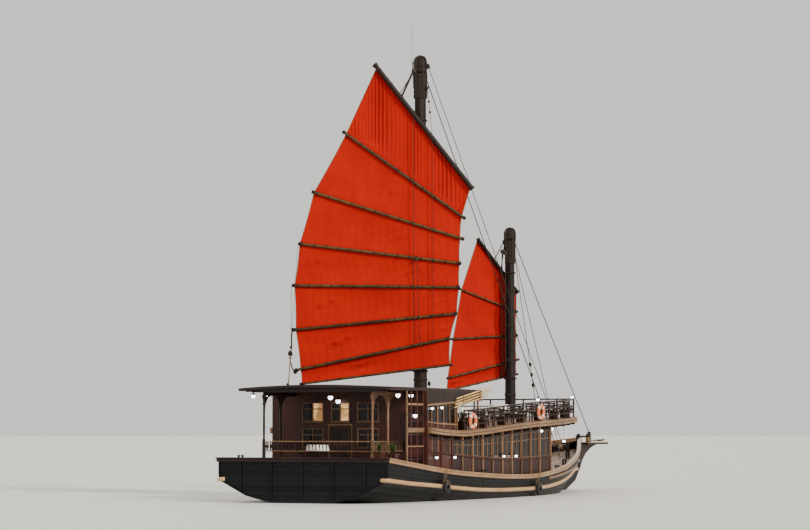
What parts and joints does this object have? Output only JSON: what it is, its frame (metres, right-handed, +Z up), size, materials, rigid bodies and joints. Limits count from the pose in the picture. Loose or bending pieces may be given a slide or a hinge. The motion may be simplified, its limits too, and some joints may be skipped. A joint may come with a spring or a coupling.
{
  "type": "chinese junk ship",
  "caption": "Two-masted wooden sailing junk with battened red lug sails that swing on their masts, a deckhouse with a roofed stern shelter, an open upper deck, a rudder and a propeller",
  "frame": {"origin": "amidships on the centreline at the waterline, at the waterline mount", "axes": "+X towards the bow, +Y to port, +Z up"},
  "size_m": [34.56, 9.5293, 24],
  "materials": {
    "hull_paint": "dark weathered paint",
    "rail_wood": "worn varnish",
    "house_wood": "dark stained",
    "spar_wood": "dark oiled",
    "sail_cloth": "woven canvas",
    "rope": "laid rope",
    "bamboo": "dried bamboo",
    "ring_foam": "painted foam",
    "tyre_rubber": "worn rubber",
    "bronze": "dull bronze",
    "steel": "weathered steel"
  },
  "bodies": {
    "ship": {"hull": "hull_paint", "keel": "hull_paint", "stem_post": "hull_paint", "rub_rail_port": "rail_wood", "rub_rail_starboard": "rail_wood", "wale_port": "rail_wood", "wale_starboard": "rail_wood", "gunwale_port": "rail_wood", "gunwale_starboard": "rail_wood", "bulwark_port": "house_wood", "bulwark_starboard": "house_wood", "transom_beam": "rail_wood", "bow_platform": "house_wood", "windlass": "house_wood", "house_wall_port": "house_wood", "house_wall_starboard": "house_wood", "bulkhead_aft": "house_wood", "bulkhead_fore": "house_wood", "upper_deck": "rail_wood", "upper_wall_port": "house_wood", "upper_wall_starboard": "house_wood", "upper_bulkhead": "house_wood", "roof": "house_wood", "roof_post_port": "house_wood", "roof_post_starboard": "house_wood", "canopy_frame_port": "house_wood", "canopy_frame_starboard": "house_wood", "stern_rail": "house_wood", "railing_port": "house_wood", "railing_starboard": "house_wood", "railing_fore": "house_wood", "main_mast": "spar_wood", "fore_mast": "spar_wood", "antenna": "steel", "main_stay": "rope", "fore_stay": "rope", "life_ring_1": "ring_foam", "life_ring_2": "ring_foam", "tyre_fender_1": "tyre_rubber", "tyre_fender_2": "tyre_rubber", "bamboo_poles": "bamboo"},
    "main_sail": {"main_sail_yard": "spar_wood", "main_sail_boom": "spar_wood", "main_sail_cloth": "sail_cloth", "main_sail_batten_1": "spar_wood", "main_sail_batten_2": "spar_wood", "main_sail_batten_3": "spar_wood", "main_sail_batten_4": "spar_wood", "main_sail_batten_5": "spar_wood", "main_sail_batten_6": "spar_wood"},
    "fore_sail": {"fore_sail_yard": "spar_wood", "fore_sail_boom": "spar_wood", "fore_sail_cloth": "sail_cloth", "fore_sail_batten_1": "spar_wood", "fore_sail_batten_2": "spar_wood", "fore_sail_batten_3": "spar_wood"},
    "rudder_blade": {"rudder": "hull_paint"},
    "screw": {"propeller": "bronze"},
    "aft_door": {"door_aft": "house_wood"},
    "fore_door": {"door_fore": "house_wood"}
  },
  "joints": [
    {"name": "main_sail_swing", "type": "hinge", "parent": "ship", "child": "main_sail", "pos_m": [-4.8, 0, 10], "axis": [0, 0, 1], "range_deg": [-13, 122]},
    {"name": "fore_sail_swing", "type": "hinge", "parent": "ship", "child": "fore_sail", "pos_m": [5.7, 0, 8], "axis": [0, 0, 1], "range_deg": [-40, 35]},
    {"name": "rudder_turn", "type": "hinge", "parent": "ship", "child": "rudder_blade", "pos_m": [-13.4, 0, -1.2], "axis": [0, 0, 1], "range_deg": [-35, 35]},
    {"name": "screw_turn", "type": "hinge", "parent": "ship", "child": "screw", "pos_m": [-12.24, 0, -1.12], "axis": [1, 0, 0], "continuous": true},
    {"name": "aft_door_swing", "type": "hinge", "parent": "ship", "child": "aft_door", "pos_m": [-12.1959, 0.89, 2.5], "axis": [0, 0, -1], "range_deg": [0, 100]},
    {"name": "fore_door_swing", "type": "hinge", "parent": "ship", "child": "fore_door", "pos_m": [1.8255, -0.49, 2.2], "axis": [0, 0, -1], "range_deg": [0, 100]}
  ]
}
